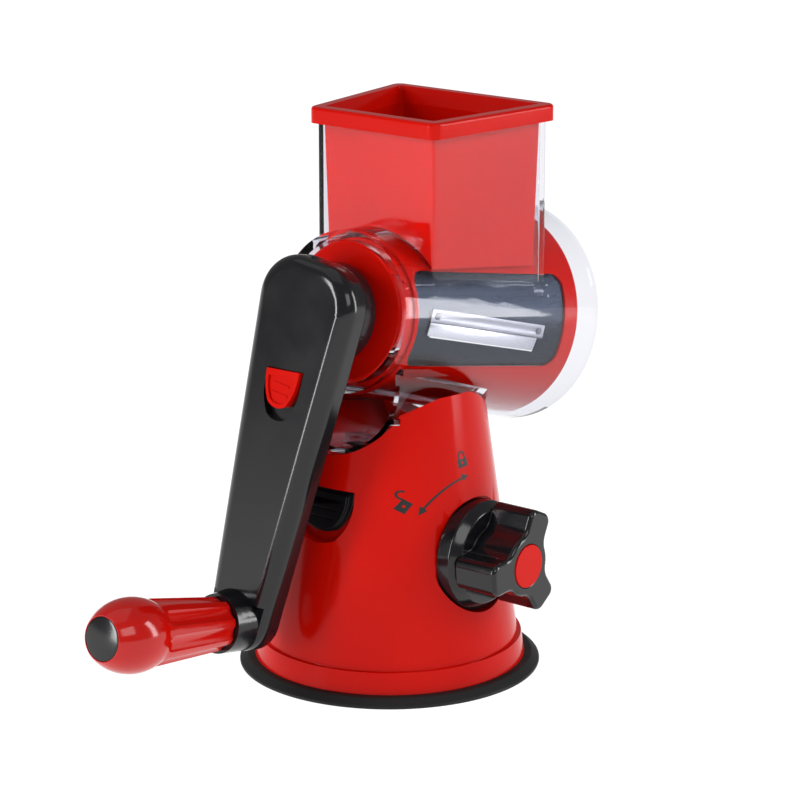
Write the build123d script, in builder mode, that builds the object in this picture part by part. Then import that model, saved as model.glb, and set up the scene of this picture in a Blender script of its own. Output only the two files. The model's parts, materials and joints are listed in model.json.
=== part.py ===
from build123d import *

import os
from math import atan, cos, degrees, radians, sin, sqrt

# A hand cranked rotary shredder on a suction base. Millimetres, +Z up. The origin is the centre
# of the suction cup's underside on the table, +X points to the drum's open mouth and -Y to the
# lock knob. The drum lies along a tilted axis; a station is a distance along that axis, which
# grows towards the mouth.

# ---------------------------------------------------------------- running gaps and seats
running_gap = 0.3  # between curved faces that slide past each other
shaft_gap = 0.05  # radial, of a shaft in its bearing
seat_gap = 0.1  # between fixed pieces that plug together

# ---------------------------------------------------------------- drum axis
drum_height = 154.5  # of the drum's axis, over the middle of the base
drum_tilt = 10.04  # degrees, down towards the mouth

# ---------------------------------------------------------------- suction cup and base shell
cup_radius = 65.0
cup_edge = 1.2
cup_height = 4.0
cup_shoulder_radius = 61.5
cup_web = 3.2  # thickness of the cup's flat web
cup_rib_radius = 53.2
cup_rib_width = 2.6
cup_rib_height = 1.7
cup_hub_radius = 12.5
cup_hub_height = 7.0

skirt_radius = 58.5
skirt_top_radius = 57.0
skirt_height = 9.2
shell_radius = 57.2  # of the cone, drawn down to the table
shell_slope = 0.1395  # radius lost for each millimetre of height
shell_wall = 2.8
ear_height = 125.5

# ---------------------------------------------------------------- drum housing
ring_front = -31.5  # station of the housing's ring, at the crank
ring_radius = 33.9
ring_bore = 30.0
ring_shoulder = -22.8
mouth_station = 85.0
mouth_radius = 48.25
barrel_wall = 2.0
rib_end = 53.0
rib_height = 1.2
rib_thickness = 1.1
rib_levels = (16.8, 12.5)  # over the drum's axis

hopper_front = -9.6
hopper_back = 56.6
hopper_front_half = 31.4
hopper_back_half = 40.6
hopper_wall = 2.0
hopper_corner = 2.5
hopper_top = 232.95
hopper_root = 160.0  # height in the housing to which the hopper's walls are drawn down

foot_radius = 30.0
foot_drop = 29.5  # of the foot's own axis, under the drum's
foot_wall = 2.2
foot_front = -25.5
foot_back = 35.0
foot_end_wall = 2.2
flange_low = 22.9  # of the foot's side flanges, under the drum's axis
flange_high = 19.5
flange_half = 31.0
guide_drop = 42.0  # of the foot's guide ribs, under the drum's axis
guide_half_height = 1.2
guide_half = 28.8
pocket_station = -11.5  # of the catch pocket in the foot's floor
pocket_length = 7.0
pocket_width = 12.0
pocket_height = 5.0
pocket_wall = 1.6

# ---------------------------------------------------------------- pusher
pusher_gap = 0.45
pusher_wall = 2.0
pusher_draft = 1.6  # degrees
pusher_floor = 2.2
pusher_lift_gap = -1.2  # over the drum housing's own cone, at the crank end: sunk in its opening
pusher_back_gap = -0.3
rim_height = 6.9
rim_reach = 2.8  # beyond the hopper's walls
rim_corner = 4.5
rim_round = 1.4
rim_wall = 5.4  # across the top of the rim; the opening flares to it

# ---------------------------------------------------------------- lock knob and its lift
knob_height = 56.8
knob_back = 44.2  # from the base's axis to the back of the knob
knob_flange_radius = 23.5
knob_flange_depth = 10.1
knob_depth = 30.4
knob_flange_chamfer = 3.6
knob_core_radius = 13.2
knob_lobe_reach = 23.3
knob_lobe_half = 7.0
knob_lobe_angle = 65.0
knob_lobe_corner = 4.0
knob_lobe_hollow = 7.0
knob_edge_round = 1.8
knob_recess_gap = 0.8
recess_floor_gap = 0.3
disc_radius = 9.2
disc_depth = 1.8
disc_proud = 0.4

knob_shaft_radius = 4.0
knob_shaft_inner = 26.0  # reach past the base's axis, into the far bearing
knob_shaft_cover = 5.5  # plastic over the shaft's outer end
shaft_boss_radius = 10.0
shaft_boss_depth = 8.0
bush_radius = 6.5
bush_flange_radius = 8.6
bush_flange = 1.2
clip_radius = 6.4
clip_thickness = 1.2
far_boss_radius = 9.0
far_boss_face = 12.0  # from the base's axis
knob_screw_radius = 1.6
knob_screw_head_radius = 3.2
knob_screw_head = 2.0
knob_screw_length = 12.0

cam_radius = 9.0
cam_width = 8.0
cam_throw = 1.5  # of the cam's centre, sideways and down at rest
cam_pin_radius = 1.2
cam_pin_length = 13.0
yoke_border = 4.2
yoke_thickness = 7.0
yoke_round = 2.0

rod_radius = 7.0
rod_bottom = 11.2
rod_bore_depth = 13.0
stud_flange_radius = 9.0
stud_flange_bottom = 1.8
stud_flange_thickness = 2.4
stud_neck_radius = 5.0
stud_stem_radius = 4.0
stud_pin_radius = 1.5
stud_pin_height = 17.0

# ---------------------------------------------------------------- bottom cover
cover_bottom = 6.0
cover_thickness = 4.0
cover_vault_radius = 14.5
cover_vault_wall = 2.4
cover_vault_height = 13.4
cover_guide_top = 22.0
cover_guide_wall = 2.6
cover_screw_circle = 47.5
cover_screw_count = 3
cover_screw_turn = 30.0  # degrees, from +X to the first one
screw_radius = 1.5
screw_head_radius = 2.9
screw_head = 1.6
screw_length = 14.0
post_radius = 6.0
post_height = 34.0

# ---------------------------------------------------------------- barrel latch
latch_height = 78.0  # on the base's skin
latch_travel = 4.3
latch_top = 9.4  # over latch_height, along the skin
latch_plate_half = 15.4
latch_plate_drop = 9.2
latch_recess_margin = 0.4
latch_recess_depth = 4.4
latch_flat_margin = 3.0  # of the flat behind the recess, over it
latch_flat_drop = 14.0
latch_plate_depth = 2.9
latch_pad_half = 12.9
latch_pad_top = 7.8
latch_pad_drop = 8.1
latch_pad_height = 1.7
latch_grip_count = 3
latch_grip_pitch = 3.9
latch_grip_width = 0.7
latch_grip_depth = 0.6
latch_neck_half = 5.0
latch_neck_height = 6.0
latch_slide_half = 11.0
latch_slide_thickness = 2.2
latch_slide_drop = 10.0
latch_shelf_thickness = 2.2
latch_shelf_half = 5.0
latch_tooth_half = 3.5
latch_tooth_length = 4.0
latch_tooth_rise = 3.4  # into the foot's pocket
deck_wall = 2.8  # under the saddle
retainer_thickness = 2.0
retainer_half = 17.5
retainer_shelf_gap = 2.0  # to the slide's shelf at the end of its travel
retainer_ledge = 2.0
retainer_screw_half = 14.6
latch_spring_radius = 3.2
latch_spring_bore = 2.2
latch_spring_length = 11.0

# ---------------------------------------------------------------- crank arm
arm_front = -59.7  # stations of the arm's faces
arm_seam = -52.2
arm_back = -46.6
arm_lean = 7.8  # degrees from straight down, towards +Y
arm_head_radius = 18.5  # of the head's two corners
arm_head_half = 6.5  # from the arm's middle to a corner's centre
arm_head_rise = 3.7  # of those centres over the drum's axis
arm_end_radius = 15.6
arm_end = 131.0  # from the drum's axis to the end round's centre
arm_edge_round = 6.5
arm_back_round = 1.4
arm_wall = 2.2
arm_deep_inset = 4.0  # of the hollow under the rounded edge
arm_step = 123.5  # where the raised front face stops
arm_step_depth = 1.8
arm_step_wall = 4.0
grip_offset = 134.0
grip_boss_radius = 12.5
grip_boss_root = 13.4  # its radius at the arm's face
grip_boss_front = -69.0
axle_boss_radius = 8.0
arm_screw_offsets = (34.0, 64.0, 100.0)
arm_screw_side = 8.5
arm_screw_radius = 1.3
arm_screw_head_radius = 2.6
arm_screw_head = 1.6
arm_screw_length = 7.5
arm_post_radius = 3.4

hub_front = -34.0
hub_radius = 20.9
hub_neck_radius = 13.8
hub_spigot_radius = 17.0
hub_flange_radius = 19.4
hub_flange = 2.0
hub_edge_round = 1.2

button_top = 24.5  # from the drum's axis, down the arm
button_tip = 40.5
button_half = 8.6
button_slant = 1.3  # rise of the button's top edge to one side
button_gap = 0.3
button_side_gap = 0.9
button_proud = 1.5
button_bar = 2.6  # height of the bar over its pan
button_rim = 1.7  # width of the ridges at the pan's sides
button_pan_depth = 0.9
button_travel = 5.2
button_floor = -56.6  # station of the recess's floor
button_well_back = -54.8
button_stem_half = 4.0
button_stem_height = 5.0
button_grip_count = 2
button_grip_pitch = 4.0
button_grip_width = 0.8
button_grip_rise = 0.4
bolt_front = -53.5
bolt_back = -51.3
bolt_half = 11.5
bolt_ring_low = 13.0
bolt_tongue_half = 4.6
bolt_top = 14.5
bolt_bottom = 41.0
button_spring_radius = 2.2
button_spring_bore = 1.5
button_spring_length = 12.0
spring_ledge = 2.2

# ---------------------------------------------------------------- grip
grip_back = -69.4
grip_back_radius = 11.2
grip_waist_station = -90.0
grip_waist_radius = 12.6
grip_swell_station = -112.0
grip_swell_radius = 14.1
grip_crown_station = -126.0
grip_crown_radius = 15.0
grip_front = -137.0
grip_front_radius = 9.5
grip_flutes = 8
grip_flute_radius = 6.5
grip_flute_depth = 1.15
grip_flute_end = -108.0
grip_flute_slope = 3.3  # degrees, along the grip's own taper
axle_radius = 4.0
axle_head_radius = 7.0
axle_head = 2.4
axle_thread_radius = 3.0
counterbore_depth = 10.0
washer_radius = 7.2
washer_thickness = 1.2
nut_across = 10.0
nut_thickness = 4.0
end_cap_radius = 9.0
end_cap_thickness = 2.6
end_cap_dome = 0.7

# ---------------------------------------------------------------- drum
drum_face = -29.2
drum_face_radius = 28.0
drum_journal_radius = 29.7
drum_journal_end = -22.5
drum_cap_thickness = 3.4
drum_mouth = 74.0
drum_mouth_gap = 0.3  # to the housing, at the drum's mouth
drum_end_gap = 2.2  # to the housing, at the crank end
drum_wall = 2.4
window_start = -20.0
window_end = 66.5
window_width = 39.5
window_corner = 6.0
window_middle = 1.8  # degrees over the level, seen on the -Y side
panel_sink = 1.0
panel_thickness = 0.7
post_across = 15.8
post_back = -50.9
post_groove_radius = 6.2
post_end = -56.5

blade_count = 3
blade_start = -12.8
blade_start_angle = 0.5  # degrees over the level
blade_end = 54.6
blade_end_angle = -8.6
blade_sink = 0.75
blade_thickness = 0.6
blade_flange = 5.6
blade_lip = 5.6
blade_lip_rise = 0.3
blade_slot_low = 6.4
blade_slot_high = 0.4
rivet_radius = 0.9
rivet_head_radius = 1.5
rivet_head = 0.3
rivet_tail = 2.2
rivet_offset = 2.9
rivet_inset = 3.4

# ---------------------------------------------------------------- frame of the drum
along = Vector(cos(radians(drum_tilt)), 0, -sin(radians(drum_tilt)))
upward = Vector(sin(radians(drum_tilt)), 0, cos(radians(drum_tilt)))
drum_centre = Vector(0, 0, drum_height)
drum_axis = Axis(drum_centre, along)
across = Plane(origin=drum_centre, x_dir=(0, 1, 0), z_dir=along)  # x is +Y, y is up
beside = Plane(origin=drum_centre, x_dir=along, z_dir=(0, -1, 0))  # x is the station, y is up
arm_side = Vector(0, cos(radians(arm_lean)), 0) + upward * sin(radians(arm_lean))
arm_plane = Plane(origin=drum_centre, x_dir=arm_side, z_dir=along)  # y runs up the arm

barrel_slope = (mouth_radius - ring_radius) / (mouth_station - ring_front)
saddle_radius = mouth_radius + running_gap
trough_radius = foot_radius + running_gap
knob_plane = Plane(origin=(0, -knob_back, knob_height), x_dir=(1, 0, 0), z_dir=(0, -1, 0))
shell_angle = atan(shell_slope)


def barrel_radius(station):
    """Outside radius of the drum housing at a station."""
    return ring_radius + barrel_slope * (station - ring_front)


def barrel_bore(station):
    """Inside radius of the drum housing at a station past its ring."""
    return barrel_radius(station) - barrel_wall


drum_slope = (
    (barrel_bore(drum_mouth) - drum_mouth_gap) - (barrel_bore(drum_journal_end) - drum_end_gap)
) / (drum_mouth - drum_journal_end)


def drum_radius(station):
    """Outside radius of the drum's cone at a station."""
    return barrel_bore(drum_mouth) - drum_mouth_gap - drum_slope * (drum_mouth - station)


def shell_at(height):
    """Outside radius of the base's cone at a height."""
    return shell_radius - shell_slope * height


def drum_point(station, angle, radius):
    """A point about the drum's axis, its angle counted up from the level on the -Y side."""
    out = Vector(0, -cos(radians(angle)), 0) + upward * sin(radians(angle))
    return drum_centre + along * station + out * radius


def turn(outline, plane=Plane.XZ, axis=Axis.Z, mode=Mode.ADD):
    """Revolve a closed outline of straight sides."""
    with BuildSketch(plane) as profile:
        with BuildLine():
            Polyline(*outline, close=True)
        make_face()
    revolve(profile.sketch, axis=axis, mode=mode)


def rod(plane, radius, length, at=(0, 0), mode=Mode.ADD):
    """A round bar, or a round hole, that starts on a plane."""
    with BuildSketch(plane) as profile:
        with Locations(at):
            Circle(radius)
    extrude(profile.sketch, amount=length, mode=mode)


def slab(plane, low, high, length, mode=Mode.ADD, both=False):
    """A straight-sided block over the rectangle between two corners on a plane."""
    with BuildSketch(plane) as profile:
        with Locations(((low[0] + high[0]) / 2, (low[1] + high[1]) / 2)):
            Rectangle(high[0] - low[0], high[1] - low[1])
    extrude(profile.sketch, amount=length, both=both, mode=mode)


def shield(plane, half, top, tip, travel=0.0, slant=0.0):
    """A shield: a straight top, and sides that curve in to a round tip. A travel draws it out
    by the way that it slides towards its tip, and a slant tilts its top."""
    reach = top - tip
    shoulder = top - abs(slant) - travel
    flank = (half * 0.93, top - 0.42 * reach - travel)
    heel = (half * 0.56, tip + 0.11 * reach - travel)
    with BuildSketch(plane) as outline:
        with BuildLine():
            Line((-half, top + slant), (half, top - slant))
            if travel or slant > 0:
                Line((-half, top + slant), (-half, shoulder))
            if travel or slant < 0:
                Line((half, top - slant), (half, shoulder))
            ThreePointArc((half, shoulder), flank, heel)
            ThreePointArc(heel, (0, tip - travel), (-heel[0], heel[1]))
            ThreePointArc((-heel[0], heel[1]), (-flank[0], flank[1]), (-half, shoulder))
        make_face()
    return outline.sketch


def hopper_outline(plane, inset, corner):
    """The hopper's plan, a trapezoid that widens to the mouth, drawn in by an inset."""
    with BuildSketch(plane) as outline:
        Polygon(
            (hopper_front, -hopper_front_half),
            (hopper_back, -hopper_back_half),
            (hopper_back, hopper_back_half),
            (hopper_front, hopper_front_half),
            align=None,
        )
        if inset:
            offset(amount=-inset, kind=Kind.INTERSECTION, mode=Mode.REPLACE)
        fillet(outline.vertices(), corner)
    return outline.sketch


def arm_outline(plane, inset):
    """The crank arm's outline: a broad head with two round corners, straight flanks, a round end."""
    with BuildSketch(plane) as outline:
        with Locations((-arm_head_half, arm_head_rise), (arm_head_half, arm_head_rise)):
            Circle(arm_head_radius - inset)
        with Locations((0, -arm_end)):
            Circle(arm_end_radius - inset)
        make_hull()
    return outline.sketch


# ================================================================ base
saddle_length = 75.0  # each way from the middle, clear of the base
trough_end = foot_back + running_gap
latch_origin = Vector(-shell_at(latch_height), 0, latch_height)
latch_plane = Plane(
    origin=latch_origin, x_dir=(0, -1, 0), z_dir=(-cos(shell_angle), 0, sin(shell_angle))
)
latch_floor_back = latch_recess_depth + shell_wall  # depth of the flat inside the skin
latch_slide_front = latch_floor_back + running_gap
latch_slide_back = latch_slide_front + latch_slide_thickness
retainer_front = latch_slide_back + running_gap
deck_level = foot_drop + trough_radius + deck_wall  # under the drum's axis
tooth_station = pocket_station + pocket_length / 2

with BuildPart() as hollow:
    inner_foot = shell_radius - shell_wall
    turn(
        [
            (0, cup_height),
            (inner_foot - shell_slope * cup_height, cup_height),
            (inner_foot - shell_slope * ear_height, ear_height),
            (0, ear_height),
        ]
    )
    rod(across.offset(-saddle_length), saddle_radius + shell_wall, 2 * saddle_length, mode=Mode.SUBTRACT)
    rod(
        across.offset(-saddle_length),
        trough_radius + deck_wall,
        saddle_length + trough_end + deck_wall,
        at=(0, -foot_drop),
        mode=Mode.SUBTRACT,
    )
    # the knob's seat, with the boss of its bush, and the far bearing's boss
    rod(
        knob_plane.offset(-recess_floor_gap - shell_wall),
        knob_flange_radius + knob_recess_gap + shell_wall,
        knob_back,
        mode=Mode.SUBTRACT,
    )
    rod(
        knob_plane.offset(-recess_floor_gap - shell_wall),
        shaft_boss_radius,
        -shaft_boss_depth,
        mode=Mode.SUBTRACT,
    )
    rod(
        Plane(origin=(0, far_boss_face, knob_height), x_dir=(1, 0, 0), z_dir=(0, 1, 0)),
        far_boss_radius,
        shell_radius,
        mode=Mode.SUBTRACT,
    )
    # the flat behind the latch, and the posts of the retainer's screws
    slab(
        latch_plane.offset(-latch_floor_back),
        (-retainer_half, -latch_plate_drop - latch_travel - latch_flat_drop),
        (retainer_half, latch_top + latch_flat_margin),
        shell_radius,
        mode=Mode.SUBTRACT,
    )
    for side in (-1, 1):
        rod(
            latch_plane.offset(-retainer_front),
            post_radius / 2 + 0.2,
            retainer_front,
            at=(side * retainer_screw_half, 0),
            mode=Mode.SUBTRACT,
        )
    with BuildSketch(Plane.XY.offset(cover_bottom + cover_thickness)) as posts:
        with PolarLocations(cover_screw_circle, cover_screw_count, start_angle=cover_screw_turn):
            Circle(post_radius)
    extrude(posts.sketch, amount=post_height, mode=Mode.SUBTRACT)

with BuildPart() as base_housing:
    turn(
        [
            (0, cup_height),
            (skirt_radius, cup_height),
            (skirt_top_radius, cup_height + skirt_height),
            (shell_at(cup_height + skirt_height), cup_height + skirt_height),
            (shell_at(ear_height), ear_height),
            (0, ear_height),
        ]
    )
    rod(across.offset(-saddle_length), saddle_radius, 2 * saddle_length, mode=Mode.SUBTRACT)
    rod(
        across.offset(-saddle_length),
        trough_radius,
        saddle_length + trough_end,
        at=(0, -foot_drop),
        mode=Mode.SUBTRACT,
    )
    # grooves for the foot's guide ribs
    slab(
        across.offset(-saddle_length),
        (-guide_half - running_gap, -guide_drop - guide_half_height - running_gap),
        (guide_half + running_gap, -guide_drop + guide_half_height + running_gap),
        saddle_length + trough_end,
        mode=Mode.SUBTRACT,
    )
    add(hollow.part, mode=Mode.SUBTRACT)
    # the knob's recess and the bearings of its shaft
    rod(
        knob_plane.offset(-recess_floor_gap),
        knob_flange_radius + knob_recess_gap,
        knob_back,
        mode=Mode.SUBTRACT,
    )
    rod(
        knob_plane.offset(-recess_floor_gap - shell_wall - shaft_boss_depth),
        bush_radius + seat_gap,
        knob_back,
        mode=Mode.SUBTRACT,
    )
    rod(
        Plane(origin=(0, far_boss_face, knob_height), x_dir=(1, 0, 0), z_dir=(0, 1, 0)),
        knob_shaft_radius + shaft_gap,
        knob_shaft_inner + 1.0 - far_boss_face,
        mode=Mode.SUBTRACT,
    )
    # the latch's recess, the slot behind it and the tooth's hole in the deck
    extrude(
        shield(
            latch_plane.offset(-latch_recess_depth),
            latch_plate_half + latch_recess_margin,
            latch_top + latch_recess_margin,
            -latch_plate_drop - latch_recess_margin,
            travel=latch_travel,
        ),
        amount=latch_height,
        mode=Mode.SUBTRACT,
    )
    slab(
        latch_plane.offset(-latch_floor_back - 1.0),
        (-latch_neck_half - running_gap, -latch_neck_height / 2 - latch_travel - running_gap),
        (latch_neck_half + running_gap, latch_neck_height / 2 + running_gap),
        latch_floor_back,
        mode=Mode.SUBTRACT,
    )
    slab(
        Plane.XY.offset(latch_height),
        (
            (drum_centre + along * tooth_station - upward * deck_level).X - latch_tooth_length,
            -latch_tooth_half - running_gap,
        ),
        (
            (drum_centre + along * tooth_station - upward * deck_level).X + latch_tooth_length,
            latch_tooth_half + running_gap,
        ),
        ear_height - latch_height,
        mode=Mode.SUBTRACT,
    )
    for side in (-1, 1):
        rod(
            latch_plane.offset(-retainer_front),
            arm_screw_radius + shaft_gap,
            arm_screw_length - retainer_thickness,
            at=(side * retainer_screw_half, 0),
            mode=Mode.SUBTRACT,
        )
    with BuildSketch(Plane.XY.offset(cover_bottom + cover_thickness)) as pilots:
        with PolarLocations(cover_screw_circle, cover_screw_count, start_angle=cover_screw_turn):
            Circle(screw_radius + shaft_gap)
    extrude(pilots.sketch, amount=screw_length, mode=Mode.SUBTRACT)

cover_radius = inner_foot - shell_slope * (cover_bottom + cover_thickness) - running_gap
with BuildPart() as base_bottom_cover:
    turn(
        [
            (cover_vault_radius, cover_bottom),
            (cover_radius, cover_bottom),
            (cover_radius, cover_bottom + cover_thickness),
            (cover_vault_radius + cover_vault_wall, cover_bottom + cover_thickness),
            (cover_vault_radius + cover_vault_wall, cover_vault_height),
            (rod_radius + shaft_gap + cover_guide_wall, cover_vault_height),
            (rod_radius + shaft_gap + cover_guide_wall, cover_guide_top),
            (rod_radius + shaft_gap, cover_guide_top),
            (rod_radius + shaft_gap, cover_vault_height - cover_vault_wall),
            (cover_vault_radius, cover_vault_height - cover_vault_wall),
        ]
    )
    with BuildSketch(Plane.XY.offset(cover_bottom)) as clearances:
        with PolarLocations(cover_screw_circle, cover_screw_count, start_angle=cover_screw_turn):
            Circle(screw_radius + seat_gap)
    extrude(clearances.sketch, amount=cover_thickness, mode=Mode.SUBTRACT)
    with BuildSketch(Plane.XY.offset(cover_bottom)) as heads:
        with PolarLocations(cover_screw_circle, cover_screw_count, start_angle=cover_screw_turn):
            Circle(screw_head_radius + running_gap)
    extrude(heads.sketch, amount=screw_head + running_gap, mode=Mode.SUBTRACT)

with BuildPart() as suction_cup:
    rib_inner = cup_rib_radius - cup_rib_width
    pocket_radius = stud_flange_radius + running_gap
    pocket_top = stud_flange_bottom + stud_flange_thickness + running_gap
    throat_radius = stud_neck_radius + running_gap
    turn(
        [
            (0, 0),
            (cup_radius, 0),
            (cup_radius, cup_edge),
            (cup_shoulder_radius, cup_height),
            (cup_rib_radius, cup_height),
            (cup_rib_radius, cup_height + cup_rib_height),
            (rib_inner, cup_height + cup_rib_height),
            (rib_inner, cup_web),
            (cup_hub_radius + 1.5, cup_web),
            (cup_hub_radius, cup_hub_height),
            (throat_radius, cup_hub_height),
            (throat_radius, pocket_top),
            (pocket_radius, pocket_top),
            (pocket_radius, stud_flange_bottom),
            (0, stud_flange_bottom),
        ]
    )

screw_seat = cover_bottom + screw_head + running_gap
with BuildPart() as cover_screws:
    with BuildSketch(Plane.XY.offset(screw_seat)) as shanks:
        with PolarLocations(cover_screw_circle, cover_screw_count, start_angle=cover_screw_turn):
            Circle(screw_radius)
    extrude(shanks.sketch, amount=screw_length)
    with BuildSketch(Plane.XY.offset(screw_seat)) as pans:
        with PolarLocations(cover_screw_circle, cover_screw_count, start_angle=cover_screw_turn):
            Circle(screw_head_radius)
    extrude(pans.sketch, amount=-screw_head)

bush_back = -recess_floor_gap - shell_wall - shaft_boss_depth
with BuildPart() as shaft_bush:
    rod(knob_plane.offset(bush_back), bush_radius, shell_wall + shaft_boss_depth)
    rod(knob_plane.offset(bush_back), bush_flange_radius, -bush_flange)
    rod(
        knob_plane.offset(bush_back - bush_flange),
        knob_shaft_radius + shaft_gap,
        knob_back,
        mode=Mode.SUBTRACT,
    )

# ================================================================ lift
with BuildPart() as knob_shaft:
    shaft_outer = knob_depth - knob_shaft_cover
    rod(
        knob_plane.offset(-knob_back - knob_shaft_inner),
        knob_shaft_radius,
        knob_back + knob_shaft_inner + shaft_outer,
    )
    rod(
        knob_plane.offset(shaft_outer - knob_screw_length),
        knob_screw_radius + seat_gap,
        knob_back,
        mode=Mode.SUBTRACT,
    )
    # the drive flat, the clip's groove and the hole of the cam's pin
    slab(
        knob_plane,
        (-knob_shaft_radius, knob_shaft_radius - 1.0),
        (knob_shaft_radius, knob_shaft_radius + 1.0),
        knob_depth,
        mode=Mode.SUBTRACT,
    )
    turn(
        [
            (knob_shaft_radius - 0.8, bush_back - bush_flange - clip_thickness - seat_gap),
            (knob_shaft_radius + 1.0, bush_back - bush_flange - clip_thickness - seat_gap),
            (knob_shaft_radius + 1.0, bush_back - bush_flange),
            (knob_shaft_radius - 0.8, bush_back - bush_flange),
        ],
        plane=Plane(origin=knob_plane.origin, x_dir=(1, 0, 0), z_dir=(0, 0, -1)),
        axis=Axis(knob_plane.origin, (0, -1, 0)),
        mode=Mode.SUBTRACT,
    )
    rod(
        Plane.XY.offset(knob_height / 2),
        cam_pin_radius + shaft_gap,
        knob_height,
        mode=Mode.SUBTRACT,
    )

with BuildPart() as shaft_clip:
    clip_plane = knob_plane.offset(bush_back - bush_flange - clip_thickness)
    rod(clip_plane, clip_radius, clip_thickness - seat_gap / 2)
    rod(clip_plane, knob_shaft_radius - 0.7, clip_thickness, mode=Mode.SUBTRACT)
    slab(
        clip_plane,
        (-knob_shaft_radius + 1.2, -clip_radius),
        (knob_shaft_radius - 1.2, 0),
        clip_thickness,
        mode=Mode.SUBTRACT,
    )

cam_plane = Plane(origin=(0, cam_width / 2, knob_height), x_dir=(1, 0, 0), z_dir=(0, -1, 0))
with BuildPart() as lift_cam:
    rod(cam_plane, cam_radius, cam_width, at=(-cam_throw, -cam_throw))
    rod(cam_plane, knob_shaft_radius + shaft_gap, cam_width, mode=Mode.SUBTRACT)
    rod(Plane.XY, cam_pin_radius + shaft_gap, drum_height, mode=Mode.SUBTRACT)

with BuildPart() as cam_pin:
    rod(Plane.XY.offset(knob_height - cam_pin_length / 2 - cam_throw), cam_pin_radius, cam_pin_length)

window_half_width = cam_radius + sqrt(2) * cam_throw + running_gap
window_low = knob_height - cam_throw - cam_radius - running_gap
window_high = knob_height - cam_throw + cam_radius + running_gap
with BuildPart() as pull_rod:
    with BuildSketch(Plane.XZ.offset(-yoke_thickness / 2)) as yoke:
        with Locations((0, (window_low + window_high) / 2)):
            RectangleRounded(
                2 * (window_half_width + yoke_border),
                window_high - window_low + 2 * yoke_border,
                yoke_round + yoke_border / 2,
            )
            RectangleRounded(
                2 * window_half_width, window_high - window_low, yoke_round, mode=Mode.SUBTRACT
            )
    extrude(yoke.sketch, amount=yoke_thickness)
    rod(Plane.XY.offset(rod_bottom), rod_radius, window_low - yoke_border / 2 - rod_bottom)
    rod(Plane.XY.offset(rod_bottom), stud_stem_radius + seat_gap, rod_bore_depth, mode=Mode.SUBTRACT)
    rod(
        Plane(origin=(-rod_radius, 0, stud_pin_height), x_dir=(0, 1, 0), z_dir=(1, 0, 0)),
        stud_pin_radius + shaft_gap,
        2 * rod_radius,
        mode=Mode.SUBTRACT,
    )

with BuildPart() as cup_stud:
    stud_flange_top = stud_flange_bottom + stud_flange_thickness
    turn(
        [
            (0, stud_flange_bottom),
            (stud_flange_radius, stud_flange_bottom),
            (stud_flange_radius, stud_flange_top),
            (stud_neck_radius, stud_flange_top),
            (stud_neck_radius, rod_bottom),
            (stud_stem_radius, rod_bottom),
            (stud_stem_radius, rod_bottom + rod_bore_depth - 1.0),
            (0, rod_bottom + rod_bore_depth - 1.0),
        ]
    )
    rod(
        Plane(origin=(-rod_radius, 0, stud_pin_height), x_dir=(0, 1, 0), z_dir=(1, 0, 0)),
        stud_pin_radius + shaft_gap,
        2 * rod_radius,
        mode=Mode.SUBTRACT,
    )

with BuildPart() as stud_pin:
    rod(
        Plane(origin=(-rod_radius + 0.5, 0, stud_pin_height), x_dir=(0, 1, 0), z_dir=(1, 0, 0)),
        stud_pin_radius,
        2 * rod_radius - 1.0,
    )

with BuildPart() as lock_knob:
    with BuildSketch(knob_plane) as flange:
        Circle(knob_flange_radius)
    extrude(flange.sketch, amount=knob_flange_depth)
    chamfer(lock_knob.faces().sort_by(Axis.Y)[0].edges(), knob_flange_chamfer)
    with BuildSketch(knob_plane.offset(knob_flange_depth)) as lobes:
        Circle(knob_core_radius)
        with PolarLocations(knob_lobe_reach / 2, 3, start_angle=knob_lobe_angle):
            Rectangle(knob_lobe_reach, 2 * knob_lobe_half)
        far = lobes.vertices().filter_by(
            lambda v: sqrt(v.X**2 + v.Y**2) > knob_lobe_reach
        )
        fillet(far, knob_lobe_corner)
        near = lobes.vertices().filter_by(
            lambda v: sqrt(v.X**2 + v.Y**2) < knob_core_radius + 1.0
        )
        fillet(near, knob_lobe_hollow)
    extrude(lobes.sketch, amount=knob_depth - knob_flange_depth)
    fillet(lock_knob.faces().sort_by(Axis.Y)[0].edges(), knob_edge_round)
    rod(knob_plane, knob_shaft_radius + seat_gap, knob_depth - knob_shaft_cover, mode=Mode.SUBTRACT)
    rod(
        knob_plane.offset(knob_depth - knob_screw_length),
        knob_screw_radius + seat_gap,
        knob_depth,
        mode=Mode.SUBTRACT,
    )
    rod(
        knob_plane.offset(knob_depth - disc_depth - knob_screw_head),
        knob_screw_head_radius + seat_gap,
        knob_depth,
        mode=Mode.SUBTRACT,
    )
    rod(
        knob_plane.offset(knob_depth - disc_depth),
        disc_radius + seat_gap,
        knob_depth,
        mode=Mode.SUBTRACT,
    )

with BuildPart() as knob_disc:
    rod(knob_plane.offset(knob_depth - disc_depth), disc_radius, disc_depth + disc_proud)
    fillet(knob_disc.faces().sort_by(Axis.Y)[0].edges(), disc_proud)

with BuildPart() as knob_screw:
    head_seat = knob_depth - disc_depth - knob_screw_head
    rod(knob_plane.offset(head_seat), knob_screw_head_radius, knob_screw_head - seat_gap)
    rod(
        knob_plane.offset(head_seat),
        knob_screw_radius,
        -(knob_screw_length - knob_shaft_cover - 1.0),
    )

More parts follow.
